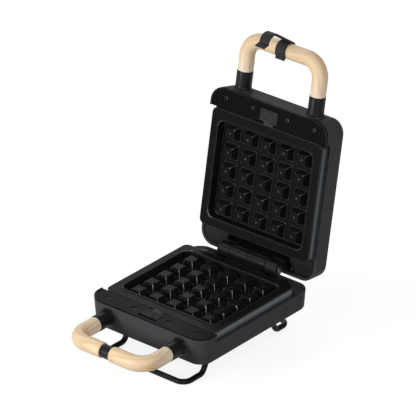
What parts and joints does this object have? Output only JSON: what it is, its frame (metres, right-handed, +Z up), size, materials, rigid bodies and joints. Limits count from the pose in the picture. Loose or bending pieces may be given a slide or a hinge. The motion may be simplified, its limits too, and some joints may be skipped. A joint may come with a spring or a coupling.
{
  "type": "sandwich and waffle maker",
  "caption": "Countertop waffle and sandwich cooker: hinged lid shown open, pegged non-stick plates, bent wooden handles with a swing latch, wire feet.",
  "frame": {"origin": "on the floor, in the middle of the open object's box", "axes": "+X to the right seen from the front handle, +Y to the hinge and back, +Z up"},
  "size_m": [0.15, 0.2902, 0.2989],
  "materials": {
    "shell_plastic": "fine matte, charcoal",
    "bar_plastic": "satin black",
    "plate_coating": "cast, coated with black non-stick",
    "tray_metal": "dull rolled sheet",
    "heater_steel": "oxidised sheath",
    "screw_steel": "blackened",
    "sensor_plastic": "moulded",
    "slider_plastic": "slate grey, ridged",
    "sleeve_plastic": "satin black",
    "grip_wood": "pale, fine grain, clear matte lacquer",
    "latch_plastic": "satin black",
    "hinge_metal": "black powder coat",
    "wire_metal": "black powder coat",
    "clamp_plastic": "moulded",
    "gland_rubber": "moulded"
  },
  "bodies": {
    "base": {"base_bar_screws": "screw_steel", "base_front_bar": "bar_plastic", "base_handle_dowel": "screw_steel", "base_handle_grip_left": "grip_wood", "base_handle_grip_right": "grip_wood", "base_handle_ring": "sleeve_plastic", "base_handle_screws": "screw_steel", "base_handle_sleeve_left": "sleeve_plastic", "base_handle_sleeve_right": "sleeve_plastic", "base_hinge_bracket": "hinge_metal", "base_hinge_screws": "screw_steel", "base_shell": "shell_plastic", "base_slider_spring": "screw_steel", "cord_gland": "gland_rubber", "foot_clamp_screws": "screw_steel", "foot_clamps": "clamp_plastic", "front_wire_foot": "wire_metal", "hinge_pin": "hinge_metal", "lower_heater": "heater_steel", "lower_heater_supports": "heater_steel", "lower_plate": "plate_coating", "lower_reflector": "tray_metal", "lower_reflector_screws": "screw_steel", "lower_thermostat": "sensor_plastic", "rear_wire_foot": "wire_metal", "terminal_block": "sensor_plastic", "thermal_fuse": "sensor_plastic"},
    "lid": {"lid_bar_screws": "screw_steel", "lid_front_bar": "bar_plastic", "lid_handle_grip": "grip_wood", "lid_handle_screws": "screw_steel", "lid_handle_sleeve_left": "sleeve_plastic", "lid_handle_sleeve_right": "sleeve_plastic", "lid_hinge_bracket": "hinge_metal", "lid_hinge_screws": "screw_steel", "lid_shell": "shell_plastic", "lid_slider_spring": "screw_steel", "upper_heater": "heater_steel", "upper_heater_supports": "heater_steel", "upper_plate": "plate_coating", "upper_reflector": "tray_metal", "upper_reflector_screws": "screw_steel", "upper_thermostat": "sensor_plastic"},
    "latch": {"handle_latch": "latch_plastic"},
    "base_slider": {"base_release_slider": "slider_plastic"},
    "lid_slider": {"lid_release_slider": "slider_plastic"}
  },
  "joints": [
    {"name": "lid_hinge", "type": "hinge", "parent": "base", "child": "lid", "pos_m": [0, 0.08119, 0.0591], "axis": [1, 0, 0], "range_deg": [0, 100.3]},
    {"name": "latch_hinge", "type": "hinge", "parent": "lid", "child": "latch", "pos_m": [0, 0.13526, 0.27105], "axis": [1, 0, 0], "range_deg": [-20, 25]},
    {"name": "base_slider_slide", "type": "slide", "parent": "base", "child": "base_slider", "axis": [0, -1, 0], "range_m": [0, 0.004], "stiffness_N_per_m": 300, "springref_m": -0.003, "deforming": ["base_slider_spring"]},
    {"name": "lid_slider_slide", "type": "slide", "parent": "lid", "child": "lid_slider", "axis": [0, 0.1788, 0.9839], "range_m": [0, 0.004], "stiffness_N_per_m": 300, "springref_m": -0.003, "deforming": ["lid_slider_spring"]}
  ]
}
